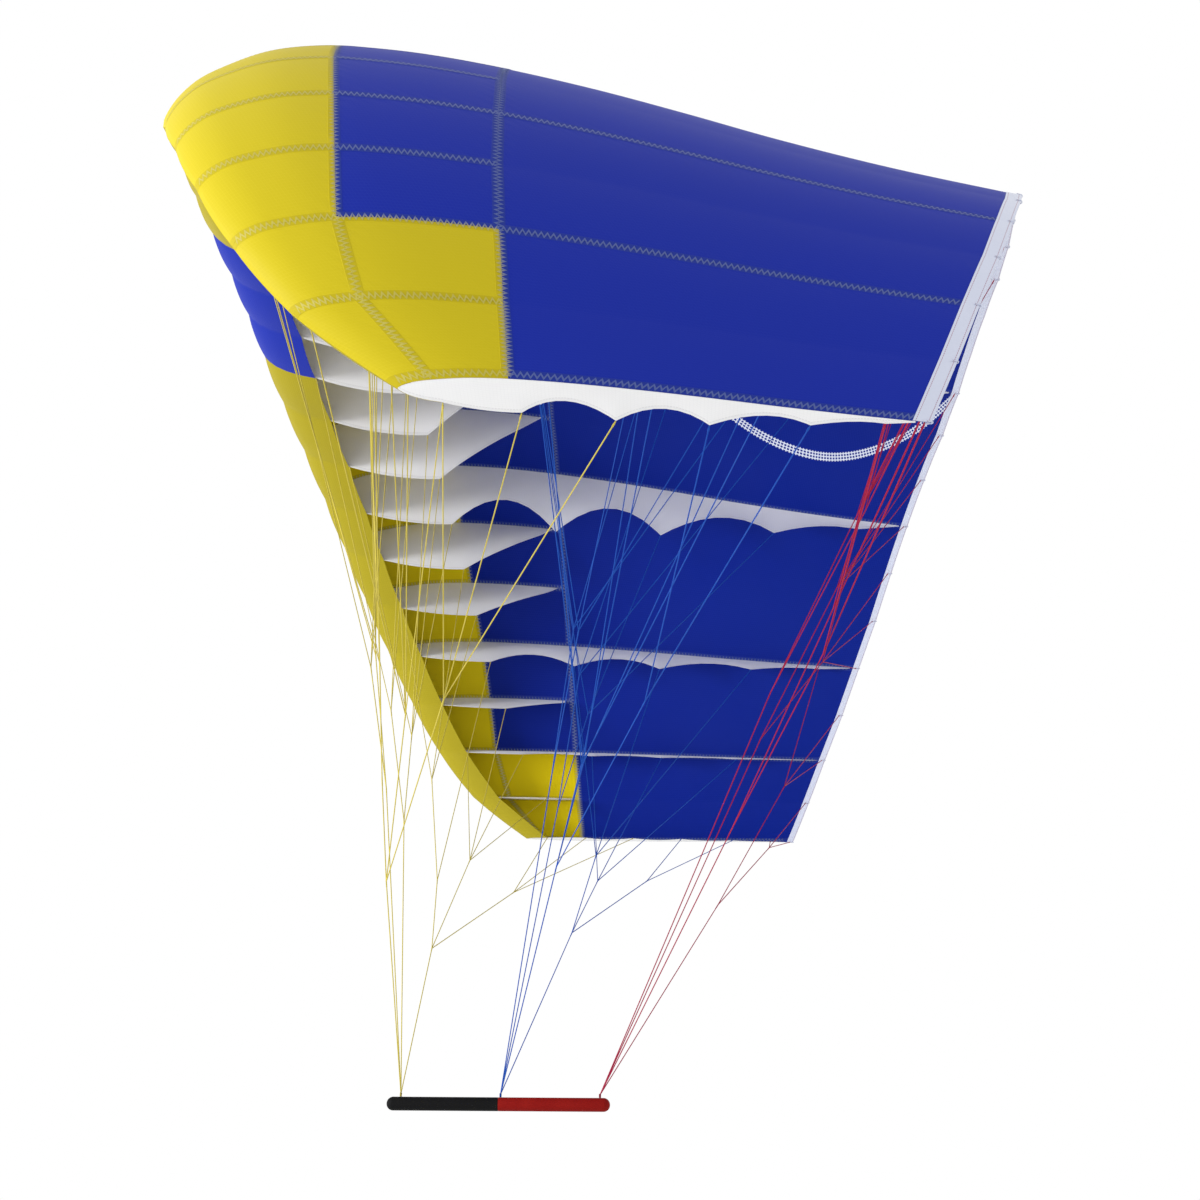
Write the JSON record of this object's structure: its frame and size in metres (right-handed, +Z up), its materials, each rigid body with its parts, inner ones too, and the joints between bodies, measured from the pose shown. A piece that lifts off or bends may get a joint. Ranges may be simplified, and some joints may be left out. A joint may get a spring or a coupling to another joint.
{
  "type": "parawing with its lines and hand bar",
  "caption": "Single-skin wing in flight: arched cloth skin over scalloped ribs, with branched lines gathered on a short straight hand bar.",
  "frame": {"origin": "middle of the hand bar, on its axis, where the hands hold the wing", "axes": "+X along the bar from the leading edge side to the trailing edge side, +Y along the span towards the right tip, +Z up from the bar to the wing"},
  "size_m": [1.662, 2.6438, 1.9434],
  "materials": {
    "yellow_cloth": "thin coated ripstop, satin",
    "blue_cloth": "thin coated ripstop, satin",
    "rib_cloth": "stiffer ripstop, matt",
    "tip_cloth": "stiffer ripstop, matt",
    "edge_tape": "folded woven tape, matt",
    "black_grip": "closed-cell foam, matt",
    "red_grip": "closed-cell foam, matt",
    "yellow_line": "braided line",
    "blue_line": "braided line",
    "red_line": "braided line"
  },
  "bodies": {
    "root": {"nose_strip_centre": "blue_cloth", "front_panel_centre": "yellow_cloth", "middle_panel_centre": "blue_cloth", "rear_panel_centre": "blue_cloth", "nose_strip_left": "yellow_cloth", "front_panel_left_1": "yellow_cloth", "front_panel_left_2": "yellow_cloth", "front_panel_left_3": "yellow_cloth", "front_panel_left_4": "yellow_cloth", "middle_panel_left_1": "blue_cloth", "middle_panel_left_2": "blue_cloth", "middle_panel_left_3": "blue_cloth", "middle_panel_left_4": "yellow_cloth", "rear_panel_left_1": "blue_cloth", "rear_panel_left_2": "blue_cloth", "rear_panel_left_3": "blue_cloth", "rear_panel_left_4": "blue_cloth", "nose_strip_right": "yellow_cloth", "front_panel_right_1": "yellow_cloth", "front_panel_right_2": "yellow_cloth", "front_panel_right_3": "yellow_cloth", "front_panel_right_4": "yellow_cloth", "middle_panel_right_1": "blue_cloth", "middle_panel_right_2": "blue_cloth", "middle_panel_right_3": "blue_cloth", "middle_panel_right_4": "yellow_cloth", "rear_panel_right_1": "blue_cloth", "rear_panel_right_2": "blue_cloth", "rear_panel_right_3": "blue_cloth", "rear_panel_right_4": "blue_cloth", "rib_left_01": "rib_cloth", "rib_left_02": "rib_cloth", "rib_left_03": "rib_cloth", "rib_left_04": "rib_cloth", "rib_left_05": "rib_cloth", "rib_left_06": "rib_cloth", "rib_left_07": "rib_cloth", "rib_left_08": "rib_cloth", "rib_left_09": "rib_cloth", "rib_left_10": "rib_cloth", "rib_left_11": "rib_cloth", "rib_left_12": "tip_cloth", "rib_right_01": "rib_cloth", "rib_right_02": "rib_cloth", "rib_right_03": "rib_cloth", "rib_right_04": "rib_cloth", "rib_right_05": "rib_cloth", "rib_right_06": "rib_cloth", "rib_right_07": "rib_cloth", "rib_right_08": "rib_cloth", "rib_right_09": "rib_cloth", "rib_right_10": "rib_cloth", "rib_right_11": "rib_cloth", "rib_right_12": "tip_cloth", "trailing_edge_tape": "edge_tape", "front_grip": "black_grip", "rear_grip": "red_grip", "front_lines": "yellow_line", "middle_lines": "blue_line", "rear_lines": "red_line"}
  },
  "joints": []
}
